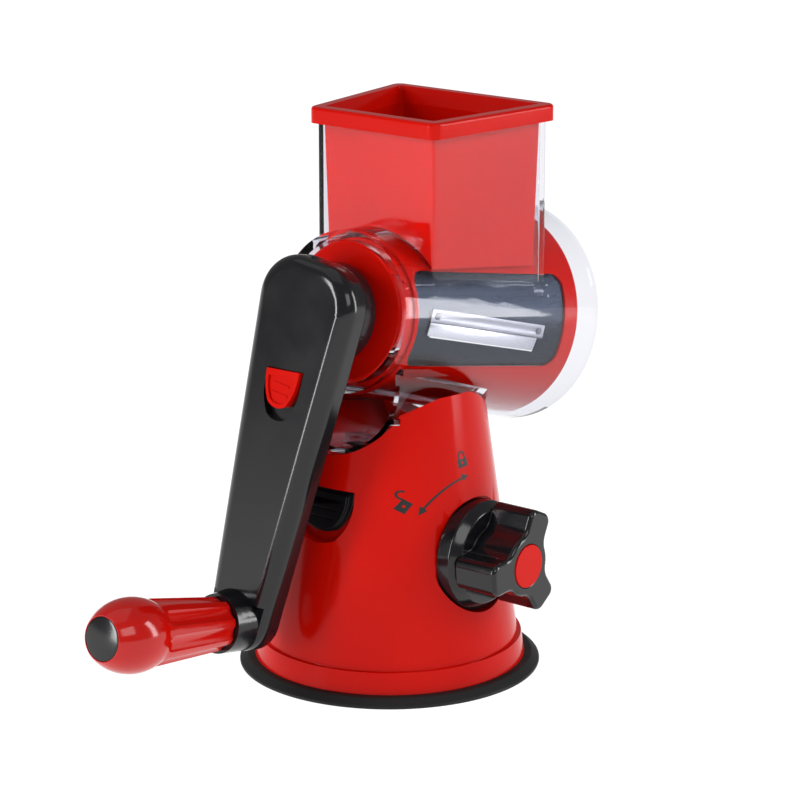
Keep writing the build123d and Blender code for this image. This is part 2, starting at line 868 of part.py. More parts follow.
# ================================================================ barrel latch
with BuildPart() as latch_button:
    extrude(
        shield(
            latch_plane.offset(-latch_recess_depth), latch_plate_half, latch_top, -latch_plate_drop
        ),
        amount=latch_recess_depth - latch_plate_depth,
    )
    extrude(
        shield(
            latch_plane.offset(-latch_plate_depth), latch_pad_half, latch_pad_top, -latch_pad_drop
        ),
        amount=latch_pad_height,
    )
    for line in range(latch_grip_count):
        level = latch_pad_top - latch_grip_pitch * (line + 1) + latch_grip_width
        reach = latch_pad_half - 2.6 - 1.6 * line
        slab(
            latch_plane.offset(latch_pad_height - latch_plate_depth - latch_grip_depth),
            (-reach, level - latch_grip_width / 2),
            (reach, level + latch_grip_width / 2),
            latch_pad_height,
            mode=Mode.SUBTRACT,
        )
    slab(
        latch_plane.offset(-latch_slide_front),
        (-latch_neck_half, -latch_neck_height / 2),
        (latch_neck_half, latch_neck_height / 2),
        latch_slide_front - latch_recess_depth,
    )

shelf_level = deck_level + 2 * running_gap  # under the drum's axis, at the tooth
shelf_point = drum_centre + along * tooth_station - upward * shelf_level
shelf_top = shelf_point.Z - 4 * running_gap
tooth_foot = drum_centre + along * tooth_station - upward * (foot_drop + foot_radius)
tooth_top = tooth_foot.Z + latch_tooth_rise
slide_reach = (shelf_top - latch_height) / cos(shell_angle)
slide_back_x = (latch_origin - latch_plane.z_dir * latch_slide_back + latch_plane.y_dir * slide_reach).X
with BuildPart() as latch_slide:
    slab(
        latch_plane.offset(-latch_slide_back),
        (-latch_slide_half, -latch_slide_drop),
        (latch_slide_half, slide_reach - latch_shelf_thickness / 2),
        latch_slide_thickness,
    )
    slab(
        Plane.XY.offset(shelf_top - latch_shelf_thickness),
        (slide_back_x - latch_slide_thickness, -latch_shelf_half),
        (shelf_point.X + latch_tooth_length / 2, latch_shelf_half),
        latch_shelf_thickness,
    )
    slab(
        Plane.XY.offset(shelf_top - latch_shelf_thickness),
        (shelf_point.X - latch_tooth_length / 2, -latch_tooth_half),
        (shelf_point.X + latch_tooth_length / 2, latch_tooth_half),
        tooth_top - shelf_top + latch_shelf_thickness,
    )

spring_top = -latch_slide_drop
spring_depth = (latch_slide_front + latch_slide_back) / 2
ledge_top = spring_top - latch_spring_length
retainer_top = slide_reach - latch_shelf_thickness - latch_travel - retainer_shelf_gap
with BuildPart() as latch_retainer:
    slab(
        latch_plane.offset(-retainer_front - retainer_thickness),
        (-retainer_half, ledge_top - retainer_ledge),
        (retainer_half, retainer_top),
        retainer_thickness,
    )
    slab(
        latch_plane.offset(-retainer_front - retainer_thickness),
        (-latch_slide_half, ledge_top - retainer_ledge),
        (latch_slide_half, ledge_top),
        retainer_thickness + retainer_front - latch_floor_back - seat_gap,
    )
    for side in (-1, 1):
        rod(
            latch_plane.offset(-retainer_front - retainer_thickness),
            arm_screw_radius + seat_gap,
            retainer_thickness,
            at=(side * retainer_screw_half, 0),
            mode=Mode.SUBTRACT,
        )

with BuildPart() as retainer_screws:
    for side in (-1, 1):
        rod(
            latch_plane.offset(-retainer_front - retainer_thickness),
            arm_screw_radius,
            arm_screw_length - 1.0,
            at=(side * retainer_screw_half, 0),
        )
        rod(
            latch_plane.offset(-retainer_front - retainer_thickness),
            arm_screw_head_radius,
            -arm_screw_head,
            at=(side * retainer_screw_half, 0),
        )

with BuildPart() as latch_spring:
    spring_plane = Plane(
        origin=latch_origin
        - latch_plane.z_dir * spring_depth
        + latch_plane.y_dir * ledge_top,
        x_dir=latch_plane.x_dir,
        z_dir=latch_plane.y_dir,
    )
    rod(spring_plane, (latch_slide_back - latch_slide_front) / 2 + 0.1, latch_spring_length)
    rod(spring_plane, latch_slide_thickness / 4, latch_spring_length, mode=Mode.SUBTRACT)

# ================================================================ drum housing
with BuildPart() as barrel_ribs:
    turn(
        [
            (ring_front, 0),
            (ring_front, ring_radius + rib_height),
            (rib_end, barrel_radius(rib_end) + rib_height),
            (rib_end, 0),
        ],
        plane=beside,
        axis=drum_axis,
    )
    with BuildSketch(beside) as levels:
        for level in rib_levels:
            with Locations(((ring_front + rib_end) / 2, level)):
                Rectangle(rib_end - ring_front, rib_thickness)
    extrude(levels.sketch, amount=mouth_radius + rib_height, both=True, mode=Mode.INTERSECT)

with BuildPart() as foot_bore:
    rod(
        across.offset(foot_front - 1.0),
        foot_radius - foot_wall,
        foot_back - foot_end_wall - foot_front + 1.0,
        at=(0, -foot_drop),
    )
    turn(
        [
            (ring_front, 0),
            (ring_front, ring_radius),
            (mouth_station, mouth_radius),
            (mouth_station, 0),
        ],
        plane=beside,
        axis=drum_axis,
        mode=Mode.SUBTRACT,
    )

with BuildPart() as barrel:
    turn(
        [
            (ring_front, 0),
            (ring_front, ring_radius),
            (mouth_station, mouth_radius),
            (mouth_station, 0),
        ],
        plane=beside,
        axis=drum_axis,
    )
    rod(across.offset(foot_front), foot_radius, foot_back - foot_front, at=(0, -foot_drop))
    # side flanges and guide ribs of the foot
    slab(
        across.offset(foot_front),
        (-flange_half, -flange_low),
        (flange_half, -flange_high),
        foot_back - foot_front,
    )
    slab(
        across.offset(foot_front),
        (-guide_half, -guide_drop - guide_half_height),
        (guide_half, -guide_drop + guide_half_height),
        foot_back - foot_front,
    )
    extrude(
        hopper_outline(Plane.XY.offset(hopper_root), 0, hopper_corner),
        amount=hopper_top - hopper_root,
    )
    add(barrel_ribs.part)
    add(foot_bore.part, mode=Mode.SUBTRACT)
    # the catch pocket that the latch's tooth rises into
    slab(
        across.offset(pocket_station - pocket_wall),
        (-pocket_width / 2, -foot_drop - foot_radius + foot_wall / 2),
        (pocket_width / 2, -foot_drop - foot_radius + foot_wall + pocket_height),
        pocket_length + 2 * pocket_wall,
    )
    slab(
        across.offset(pocket_station),
        (-pocket_width / 2 + pocket_wall, -foot_drop - foot_radius - 1.0),
        (
            pocket_width / 2 - pocket_wall,
            -foot_drop - foot_radius + foot_wall + pocket_height - pocket_wall,
        ),
        pocket_length,
        mode=Mode.SUBTRACT,
    )
    turn(
        [
            (ring_front - 1.0, 0),
            (ring_front - 1.0, ring_bore),
            (ring_shoulder, ring_bore),
            (ring_shoulder, barrel_bore(ring_shoulder)),
            (mouth_station, barrel_bore(mouth_station)),
            (mouth_station + 1.0, barrel_bore(mouth_station)),
            (mouth_station + 1.0, 0),
        ],
        plane=beside,
        axis=drum_axis,
        mode=Mode.SUBTRACT,
    )
    extrude(
        hopper_outline(Plane.XY.offset(hopper_root), hopper_wall, hopper_corner - hopper_wall / 2),
        amount=hopper_top - hopper_root + 1.0,
        mode=Mode.SUBTRACT,
    )

# ================================================================ pusher
pusher_inset = hopper_wall + pusher_gap
front_station = (hopper_front + pusher_inset) / cos(radians(drum_tilt))
back_station = (hopper_back - pusher_inset) / cos(radians(drum_tilt))


def pusher_under(station, rise=0.0):
    """Radius of the cone that the pusher's underside follows."""
    share = (station - front_station) / (back_station - front_station)
    gap = pusher_lift_gap + (pusher_back_gap - pusher_lift_gap) * share
    return barrel_radius(station) + gap + rise


with BuildPart() as pusher_well:
    extrude(
        hopper_outline(
            Plane.XY.offset(hopper_top + rim_height), pusher_inset + pusher_wall, hopper_corner / 2
        ),
        amount=-(hopper_top + rim_height - hopper_root),
        taper=pusher_draft,
    )
    flare = pusher_inset + pusher_wall - (rim_wall - rim_reach)
    extrude(
        hopper_outline(
            Plane.XY.offset(hopper_top + rim_height), rim_wall - rim_reach, hopper_corner / 2
        ),
        amount=-rim_height,
        taper=degrees(atan(flare / rim_height)),
    )
    turn(
        [
            (ring_front, 0),
            (ring_front, pusher_under(ring_front, pusher_floor)),
            (mouth_station, pusher_under(mouth_station, pusher_floor)),
            (mouth_station, 0),
        ],
        plane=beside,
        axis=drum_axis,
        mode=Mode.SUBTRACT,
    )

with BuildPart() as pusher:
    extrude(
        hopper_outline(Plane.XY.offset(hopper_top), pusher_inset, hopper_corner / 2),
        amount=-(hopper_top - hopper_root),
        taper=pusher_draft,
    )
    turn(
        [
            (ring_front, 0),
            (ring_front, pusher_under(ring_front)),
            (mouth_station, pusher_under(mouth_station)),
            (mouth_station, 0),
        ],
        plane=beside,
        axis=drum_axis,
        mode=Mode.SUBTRACT,
    )
    extrude(
        hopper_outline(Plane.XY.offset(hopper_top), -rim_reach, rim_corner), amount=rim_height
    )
    fillet(pusher.faces().sort_by(Axis.Z)[-1].edges(), rim_round)
    add(pusher_well.part, mode=Mode.SUBTRACT)

# ================================================================ drum
def around_drum(shape):
    """Copies of a shape, one for each blade, about the drum's axis."""
    step = 360 / blade_count
    return [shape.rotate(drum_axis, step * turn_index) for turn_index in range(blade_count)]


def window(inset):
    """The room of one of the drum's windows, from the axis out, drawn in by an inset."""
    out = drum_point(0, window_middle, 1) - drum_point(0, window_middle, 0)
    middle = drum_point((window_start + window_end) / 2, 0, 0)
    with BuildSketch(Plane(origin=middle, x_dir=along, z_dir=out)) as outline:
        RectangleRounded(
            window_end - window_start - 2 * inset, window_width - 2 * inset, window_corner - inset
        )
    return extrude(outline.sketch, amount=mouth_radius, mode=Mode.PRIVATE)


with BuildPart() as drum_body:
    turn(
        [
            (drum_face, 0),
            (drum_face, drum_face_radius),
            (drum_face + 1.2, drum_journal_radius),
            (drum_journal_end, drum_journal_radius),
            (drum_journal_end, drum_radius(drum_journal_end)),
            (drum_mouth, drum_radius(drum_mouth)),
            (drum_mouth, drum_radius(drum_mouth) - drum_wall),
            (drum_face + drum_cap_thickness, drum_radius(drum_face) - drum_wall),
            (drum_face + drum_cap_thickness, 0),
        ],
        plane=beside,
        axis=drum_axis,
    )
    for copy in around_drum(window(0)):
        add(copy, mode=Mode.SUBTRACT)
    # the drive post, hexagonal, with a groove for the crank's bolt
    with BuildSketch(across.offset(drum_face)) as hexagon:
        RegularPolygon(post_across / 2, 6, major_radius=False)
    extrude(hexagon.sketch, amount=post_end - drum_face)
    turn(
        [
            (post_back, post_groove_radius),
            (post_back, post_across),
            (bolt_front - running_gap, post_across),
            (bolt_front - running_gap, post_groove_radius),
        ],
        plane=beside,
        axis=drum_axis,
        mode=Mode.SUBTRACT,
    )


def panel_radius(station):
    """Outside radius of the drum's steel panels at a station."""
    return drum_radius(station) - panel_sink


blade_low = drum_point(blade_start, blade_start_angle, drum_radius(blade_start) - blade_sink)
blade_high = drum_point(blade_end, blade_end_angle, drum_radius(blade_end) - blade_sink)
blade_way = (blade_high - blade_low).normalized()
blade_middle_angle = (blade_start_angle + blade_end_angle) / 2
blade_out = drum_point(0, blade_middle_angle, 1) - drum_point(0, blade_middle_angle, 0)
blade_out = (blade_out - blade_way * blade_out.dot(blade_way)).normalized()
blade_length = (blade_high - blade_low).length
blade_plane = Plane(origin=(blade_low + blade_high) / 2, x_dir=blade_way, z_dir=blade_out)

with BuildPart() as slot_cutter:
    slab(
        blade_plane.offset(-6.0),
        (-blade_length / 2 + 2.0, -blade_slot_low),
        (blade_length / 2 - 2.0, -blade_slot_high),
        10.0,
    )
with BuildPart() as rivet_cutter:
    for side in (-1, 1):
        rod(
            blade_plane.offset(-4.0),
            rivet_radius + seat_gap,
            8.0,
            at=(side * (blade_length / 2 - rivet_inset), rivet_offset),
        )


with BuildPart() as drum_panels:
    turn(
        [
            (window_start, panel_radius(window_start) - panel_thickness),
            (window_start, panel_radius(window_start)),
            (window_end, panel_radius(window_end)),
            (window_end, panel_radius(window_end) - panel_thickness),
        ],
        plane=beside,
        axis=drum_axis,
    )
    leaves = around_drum(window(seat_gap))
    add(leaves[0] + leaves[1] + leaves[2], mode=Mode.INTERSECT)
    for copy in around_drum(slot_cutter.part):
        add(copy, mode=Mode.SUBTRACT)
    for copy in around_drum(rivet_cutter.part):
        add(copy, mode=Mode.SUBTRACT)

with BuildPart() as one_blade:
    blade_section = Plane(origin=blade_low, x_dir=blade_plane.y_dir, z_dir=blade_way)
    with BuildSketch(blade_section) as strip:
        Polygon(
            (-blade_lip, blade_lip_rise),
            (0, 0),
            (blade_flange, 0),
            (blade_flange, blade_thickness),
            (0, blade_thickness),
            (-blade_lip, blade_lip_rise + blade_thickness / 2),
            align=None,
        )
    extrude(strip.sketch, amount=blade_length)
    add(rivet_cutter.part, mode=Mode.SUBTRACT)

with BuildPart() as slicing_blades:
    for copy in around_drum(one_blade.part):
        add(copy)

with BuildPart() as rivet_pair:
    for side in (-1, 1):
        at = (side * (blade_length / 2 - rivet_inset), rivet_offset)
        rod(blade_plane.offset(-rivet_tail), rivet_radius, rivet_tail + blade_thickness, at=at)
        rod(blade_plane.offset(blade_thickness), rivet_head_radius, rivet_head, at=at)

with BuildPart() as blade_rivets:
    for copy in around_drum(rivet_pair.part):
        add(copy)

# ================================================================ crank
with BuildPart() as crank_hub:
    turn(
        [
            (drum_face, 0),
            (drum_face, hub_neck_radius),
            (hub_front, hub_neck_radius),
            (hub_front, hub_radius - hub_edge_round),
            (hub_front - hub_edge_round, hub_radius),
            (arm_back, hub_radius),
            (arm_back, hub_spigot_radius),
            (arm_back - arm_wall, hub_spigot_radius),
            (arm_back - arm_wall, hub_flange_radius),
            (arm_back - arm_wall - hub_flange, hub_flange_radius),
            (arm_back - arm_wall - hub_flange, 0),
        ],
        plane=beside,
        axis=drum_axis,
    )
    with BuildSketch(across.offset(drum_face)) as socket:
        RegularPolygon(post_across / 2 + seat_gap, 6, major_radius=False)
    extrude(socket.sketch, amount=post_end - drum_face, mode=Mode.SUBTRACT)

screw_points = [
    (side * arm_screw_side, -down) for down in arm_screw_offsets for side in (-1, 1)
]
grip_point = (0, -grip_offset)
arm_width = 2 * (arm_head_half + arm_head_radius)
with BuildPart() as arm_front_shell:
    extrude(arm_outline(arm_plane.offset(arm_seam), 0), amount=arm_front - arm_seam)
    fillet(arm_front_shell.faces().sort_by(drum_axis)[0].edges(), arm_edge_round)
    slab(
        arm_plane.offset(arm_front + arm_step_depth),
        (-arm_width / 2, -arm_end - arm_width),
        (arm_width / 2, -arm_step),
        -arm_width,
        mode=Mode.SUBTRACT,
    )
    # the hollow, which leaves the button's well and the screw posts standing
    with BuildSketch(arm_plane.offset(arm_seam)) as cavity:
        add(arm_outline(Plane.XY, arm_wall))
        with Locations((0, -arm_step - arm_width / 2 + arm_step_wall)):
            Rectangle(arm_width, arm_width, mode=Mode.SUBTRACT)
        with Locations(*screw_points):
            Circle(arm_post_radius, mode=Mode.SUBTRACT)
    extrude(cavity.sketch, amount=button_well_back - arm_seam, mode=Mode.SUBTRACT)
    button_recess_tip = button_tip + button_travel + button_gap
    with BuildSketch(arm_plane.offset(button_well_back)) as deep_cavity:
        add(arm_outline(Plane.XY, arm_deep_inset))
        with Locations((0, -arm_step - arm_width / 2 + arm_step_wall)):
            Rectangle(arm_width, arm_width, mode=Mode.SUBTRACT)
        with Locations(*screw_points):
            Circle(arm_post_radius, mode=Mode.SUBTRACT)
        with Locations((0, -(button_top + button_recess_tip) / 2)):
            Rectangle(
                2 * (button_half + button_side_gap + arm_wall),
                button_recess_tip - button_top + 2 * (arm_wall + button_slant),
                mode=Mode.SUBTRACT,
            )
    extrude(deep_cavity.sketch, amount=arm_front + arm_wall - button_well_back, mode=Mode.SUBTRACT)
    # the button's recess and the slot of its stem
    extrude(
        shield(
            arm_plane.offset(button_floor),
            button_half + button_side_gap,
            -button_top + button_gap,
            -button_tip - button_gap,
            travel=button_travel,
            slant=button_slant,
        ),
        amount=arm_front - button_floor - 1.0,
        mode=Mode.SUBTRACT,
    )
    stem_top = -button_top - 4.0
    slab(
        arm_plane.offset(button_well_back),
        (
            -button_stem_half - running_gap,
            stem_top - button_stem_height - button_travel - running_gap,
        ),
        (button_stem_half + running_gap, stem_top + running_gap),
        button_floor - button_well_back - 1.0,
        mode=Mode.SUBTRACT,
    )
    # the grip's boss and the axle's hole
    boss_face = arm_front + arm_step_depth
    with BuildSketch(arm_plane.offset(boss_face)) as boss_root:
        with Locations((0, -grip_offset + grip_boss_root - grip_boss_radius)):
            Circle(grip_boss_root)
    with BuildSketch(arm_plane.offset(grip_boss_front)) as boss_end:
        with Locations(grip_point):
            Circle(grip_boss_radius)
    loft([boss_root.sketch, boss_end.sketch])
    rod(
        arm_plane.offset(arm_seam),
        grip_boss_root,
        boss_face - arm_seam,
        at=(0, -grip_offset + grip_boss_root - grip_boss_radius),
    )
    rod(
        arm_plane.offset(arm_seam),
        axle_radius + seat_gap,
        grip_boss_front - arm_seam,
        at=grip_point,
        mode=Mode.SUBTRACT,
    )
    for point in screw_points:
        rod(
            arm_plane.offset(arm_seam),
            arm_screw_radius + shaft_gap,
            -arm_screw_length / 2,
            at=point,
            mode=Mode.SUBTRACT,
        )

with BuildPart() as arm_back_cover:
    extrude(arm_outline(arm_plane.offset(arm_seam), 0), amount=arm_back - arm_seam)
    fillet(arm_back_cover.faces().sort_by(drum_axis)[-1].edges(), arm_back_round)
    with BuildSketch(arm_plane.offset(arm_seam)) as back_cavity:
        add(arm_outline(Plane.XY, arm_wall))
        with Locations(grip_point):
            Circle(axle_boss_radius + arm_wall, mode=Mode.SUBTRACT)
        with Locations(*screw_points):
            Circle(arm_post_radius, mode=Mode.SUBTRACT)
        ledge_low = -bolt_bottom - button_spring_length - spring_ledge
        with Locations((0, ledge_low + spring_ledge / 2)):
            Rectangle(2 * arm_screw_side, spring_ledge, mode=Mode.SUBTRACT)
    extrude(back_cavity.sketch, amount=arm_back - arm_wall - arm_seam, mode=Mode.SUBTRACT)
    rod(
        arm_plane.offset(arm_seam),
        hub_spigot_radius + seat_gap,
        arm_back - arm_seam,
        mode=Mode.SUBTRACT,
    )
    rod(
        arm_plane.offset(arm_seam),
        axle_radius + seat_gap,
        arm_back - arm_seam,
        at=grip_point,
        mode=Mode.SUBTRACT,
    )
    rod(
        arm_plane.offset(arm_back),
        axle_head_radius + seat_gap,
        -axle_head,
        at=grip_point,
        mode=Mode.SUBTRACT,
    )
    for point in screw_points:
        rod(
            arm_plane.offset(arm_back),
            arm_screw_radius + seat_gap,
            arm_seam - arm_back,
            at=point,
            mode=Mode.SUBTRACT,
        )
        rod(
            arm_plane.offset(arm_back),
            arm_screw_head_radius + seat_gap,
            -arm_screw_head,
            at=point,
            mode=Mode.SUBTRACT,
        )

with BuildPart() as arm_screws:
    for point in screw_points:
        seat_plane = arm_plane.offset(arm_back - arm_screw_head)
        rod(seat_plane, arm_screw_head_radius, arm_screw_head - 2 * seat_gap, at=point)
        rod(seat_plane, arm_screw_radius, -arm_screw_length, at=point)

button_face = arm_front - button_proud
with BuildPart() as crank_button:
    extrude(
        shield(
            arm_plane.offset(button_floor), button_half, -button_top, -button_tip, slant=button_slant
        ),
        amount=button_face - button_floor,
    )
    # the pan between its ridges, with two raised lines across it
    extrude(
        shield(
            arm_plane.offset(button_face + button_pan_depth),
            button_half - button_rim,
            -button_top - button_bar,
            -button_tip + button_rim,
            slant=button_slant,
        ),
        amount=-button_pan_depth,
        mode=Mode.SUBTRACT,
    )
    for line in range(button_grip_count):
        level = -button_top - button_bar - button_grip_pitch * (line + 0.9)
        slab(
            arm_plane.offset(button_face + button_pan_depth),
            (-button_half / 2, level - button_grip_width / 2),
            (button_half / 2, level + button_grip_width / 2),
            -button_grip_rise,
        )
    slab(
        arm_plane.offset(bolt_front),
        (-button_stem_half, stem_top - button_stem_height),
        (button_stem_half, stem_top),
        button_floor - bolt_front,
    )

with BuildPart() as button_bolt:
    bolt_depth = bolt_front - bolt_back
    slab(
        arm_plane.offset(bolt_back),
        (-bolt_half, -bolt_ring_low),
        (bolt_half, bolt_top),
        bolt_depth,
    )
    slab(
        arm_plane.offset(bolt_back),
        (-bolt_tongue_half, -bolt_bottom),
        (bolt_tongue_half, -bolt_ring_low),
        bolt_depth,
    )
    # a keyhole: its lower half round sits in the post's groove, its upper part clears the post
    key_radius = post_groove_radius + running_gap
    rod(arm_plane.offset(bolt_back), key_radius, bolt_depth, mode=Mode.SUBTRACT)
    clear_half = post_across / 2 / cos(radians(30)) + running_gap
    slab(
        arm_plane.offset(bolt_back),
        (-clear_half, 0),
        (clear_half, bolt_top),
        bolt_depth,
        mode=Mode.SUBTRACT,
    )

with BuildPart() as button_spring:
    button_spring_plane = Plane(
        origin=drum_centre
        + along * (bolt_back + bolt_front) / 2
        - arm_plane.y_dir * (bolt_bottom + button_spring_length),
        x_dir=arm_plane.x_dir,
        z_dir=arm_plane.y_dir,
    )
    rod(button_spring_plane, button_spring_radius, button_spring_length)
    rod(button_spring_plane, button_spring_bore, button_spring_length, mode=Mode.SUBTRACT)

# ================================================================ grip
grip_plane = Plane(
    origin=drum_centre - arm_plane.y_dir * grip_offset, x_dir=arm_plane.x_dir, z_dir=along
)
grip_side = Plane(
    origin=grip_plane.origin, x_dir=along, z_dir=grip_plane.x_dir * -1
)
grip_axis = Axis(grip_plane.origin, along)
cap_seat = grip_front + end_cap_thickness - end_cap_dome
grip_counterbore = grip_front + counterbore_depth

with BuildPart() as flute_cutter:
    flute_root = grip_back_radius - grip_flute_depth + grip_flute_radius
    flute_origin = grip_plane.origin + along * grip_back + grip_side.y_dir * flute_root
    flute_way = (
        along * -cos(radians(grip_flute_slope)) + grip_side.y_dir * sin(radians(grip_flute_slope))
    )
    flute_plane = Plane(origin=flute_origin, x_dir=grip_side.z_dir, z_dir=flute_way)
    rod(flute_plane.offset(-5.0), grip_flute_radius, grip_back - grip_flute_end + 5.0)
    with Locations(flute_origin + flute_way * (grip_back - grip_flute_end)):
        Sphere(grip_flute_radius)

with BuildPart() as grip_sleeve:
    with BuildSketch(grip_side) as grip_profile:
        with BuildLine():
            Polyline(
                (grip_front, 0),
                (grip_back, 0),
                (grip_back, grip_back_radius),
                (grip_waist_station, grip_waist_radius),
                (grip_swell_station, grip_swell_radius),
            )
            ThreePointArc(
                (grip_swell_station, grip_swell_radius),
                (grip_crown_station, grip_crown_radius),
                (grip_front, grip_front_radius),
            )
            Line((grip_front, grip_front_radius), (grip_front, 0))
        make_face()
    revolve(grip_profile.sketch, axis=grip_axis)
    for flute in range(grip_flutes):
        add(flute_cutter.part.rotate(grip_axis, 360 / grip_flutes * flute), mode=Mode.SUBTRACT)
    rod(
        grip_plane.offset(grip_back),
        axle_radius + shaft_gap,
        grip_front - grip_back,
        mode=Mode.SUBTRACT,
    )
    rod(
        grip_plane.offset(grip_counterbore),
        end_cap_radius - 0.75,
        grip_front - grip_counterbore,
        mode=Mode.SUBTRACT,
    )
    rod(
        grip_plane.offset(cap_seat),
        end_cap_radius + seat_gap,
        grip_front - cap_seat,
        mode=Mode.SUBTRACT,
    )

with BuildPart() as grip_end_cap:
    rod(grip_plane.offset(cap_seat), end_cap_radius, -end_cap_thickness + end_cap_dome)
    cap_ball = (end_cap_radius**2 + end_cap_dome**2) / (2 * end_cap_dome)
    cap_centre = grip_front - end_cap_dome + cap_ball
    with BuildSketch(grip_side) as dome:
        with BuildLine():
            Line((grip_front, 0), (grip_front, end_cap_radius))
            ThreePointArc(
                (grip_front, end_cap_radius),
                (cap_centre - sqrt(cap_ball**2 - (end_cap_radius / 2) ** 2), end_cap_radius / 2),
                (grip_front - end_cap_dome, 0),
            )
            Line((grip_front - end_cap_dome, 0), (grip_front, 0))
        make_face()
    revolve(dome.sketch, axis=grip_axis)

washer_back = grip_counterbore - shaft_gap
nut_back = washer_back - washer_thickness
axle_end = nut_back - nut_thickness
with BuildPart() as grip_axle:
    rod(grip_plane.offset(arm_back - axle_head), axle_head_radius, axle_head - 2 * seat_gap)
    rod(grip_plane.offset(arm_back - axle_head), axle_radius, grip_counterbore - arm_back + axle_head)
    rod(grip_plane.offset(grip_counterbore), axle_thread_radius, axle_end - grip_counterbore)

with BuildPart() as axle_washer:
    rod(grip_plane.offset(washer_back), washer_radius, -washer_thickness)
    rod(
        grip_plane.offset(washer_back),
        axle_thread_radius + seat_gap,
        -washer_thickness,
        mode=Mode.SUBTRACT,
    )

with BuildPart() as axle_nut:
    with BuildSketch(grip_plane.offset(nut_back)) as nut_outline:
        RegularPolygon(nut_across / 2, 6, major_radius=False)
        Circle(axle_thread_radius + shaft_gap, mode=Mode.SUBTRACT)
    extrude(nut_outline.sketch, amount=-nut_thickness)

pieces = {
    "base_housing": base_housing,
    "base_bottom_cover": base_bottom_cover,
    "suction_cup": suction_cup,
    "cover_screws": cover_screws,
    "shaft_bush": shaft_bush,
    "knob_shaft": knob_shaft,
    "shaft_clip": shaft_clip,
    "lift_cam": lift_cam,
    "cam_pin": cam_pin,
    "pull_rod": pull_rod,
    "cup_stud": cup_stud,
    "stud_pin": stud_pin,
    "lock_knob": lock_knob,
    "knob_disc": knob_disc,
    "knob_screw": knob_screw,
    "latch_button": latch_button,
    "latch_slide": latch_slide,
    "latch_retainer": latch_retainer,
    "retainer_screws": retainer_screws,
    "latch_spring": latch_spring,
    "barrel": barrel,
    "pusher": pusher,
    "drum_body": drum_body,
    "drum_panels": drum_panels,
    "slicing_blades": slicing_blades,
    "blade_rivets": blade_rivets,
    "crank_hub": crank_hub,
    "arm_front_shell": arm_front_shell,
    "arm_back_cover": arm_back_cover,
    "arm_screws": arm_screws,
    "crank_button": crank_button,
    "button_bolt": button_bolt,
    "button_spring": button_spring,
    "grip_sleeve": grip_sleeve,
    "grip_end_cap": grip_end_cap,
    "grip_axle": grip_axle,
    "axle_washer": axle_washer,
    "axle_nut": axle_nut,
}
os.makedirs("parts", exist_ok=True)
for label, piece in pieces.items():
    piece.part.label = label
    export_step(piece.part, f"parts/{label}.step")
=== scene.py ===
import json
from math import cos, pi, radians, sin, sqrt

import bpy
from mathutils import Matrix, Vector


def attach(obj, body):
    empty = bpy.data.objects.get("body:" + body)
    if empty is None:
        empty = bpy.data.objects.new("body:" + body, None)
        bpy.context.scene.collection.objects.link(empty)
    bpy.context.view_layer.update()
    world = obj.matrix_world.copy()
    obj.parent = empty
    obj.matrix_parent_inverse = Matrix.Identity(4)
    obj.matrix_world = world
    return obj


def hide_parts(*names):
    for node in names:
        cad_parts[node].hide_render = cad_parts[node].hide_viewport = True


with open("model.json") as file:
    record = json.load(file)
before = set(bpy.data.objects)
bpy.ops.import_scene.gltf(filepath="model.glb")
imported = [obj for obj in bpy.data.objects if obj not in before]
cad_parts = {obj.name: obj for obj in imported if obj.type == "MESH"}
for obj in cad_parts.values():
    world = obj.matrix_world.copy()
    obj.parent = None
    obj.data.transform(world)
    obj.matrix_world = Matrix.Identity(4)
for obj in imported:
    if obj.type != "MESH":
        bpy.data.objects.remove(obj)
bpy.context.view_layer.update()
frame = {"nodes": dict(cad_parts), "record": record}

MM = 0.001
FRAME_WIDTH = 36.0  # of the camera's picture, in millimetres
LENS = 139.13  # solved from the photograph's ellipses and edges
JOIN_WITHIN = 0.002  # millimetres between two points that are one

# ---------------------------------------------------------------- camera, floor and light


def add_camera():
    """A long lens at the photograph's angle: from the crank's side, a little above the drum."""
    data = bpy.data.cameras.new("camera")
    data.sensor_width = FRAME_WIDTH
    data.lens = LENS
    data.clip_end = 20.0
    camera = bpy.data.objects.new("camera", data)
    camera.location = (-0.98278, -0.80284, 0.46178)
    camera.rotation_euler = (radians(74.741), 0, radians(-50.958))
    bpy.context.scene.collection.objects.link(camera)
    bpy.context.scene.camera = camera


def add_softbox(name, place, target, size, power):
    """A rectangular softbox that faces a point on the object."""
    data = bpy.data.lights.new(name, "AREA")
    data.shape = "RECTANGLE"
    data.size, data.size_y = size
    data.energy = power
    light = bpy.data.objects.new(name, data)
    light.location = place
    light.rotation_euler = (Vector(target) - Vector(place)).to_track_quat("-Z", "Y").to_euler()
    bpy.context.scene.collection.objects.link(light)
    return light


def add_stage():
    """A wide pale floor, and an even white surround."""
    bpy.ops.mesh.primitive_plane_add(size=40.0, location=(0, 0, 0))
    floor = bpy.context.object
    floor.name = "floor"
    floor.data.materials.append(matte_paper("pale floor", "#8c8c8c", 0.94))
    world = bpy.data.worlds.new("surround")
    world.use_nodes = True
    background = world.node_tree.nodes["Background"]
    background.inputs["Color"].default_value = (1, 1, 1, 1)
    background.inputs["Strength"].default_value = 0.26
    bpy.context.scene.world = world
    bpy.context.scene.view_settings.view_transform = "Standard"


# ---------------------------------------------------------------- materials


def shade(text):
    """An sRGB hex value as the linear colour that a shader wants."""
    parts = [int(text[i : i + 2], 16) / 255 for i in (1, 3, 5)]
    linear = [c / 12.92 if c <= 0.04045 else ((c + 0.055) / 1.055) ** 2.4 for c in parts]
    return (*linear, 1.0)


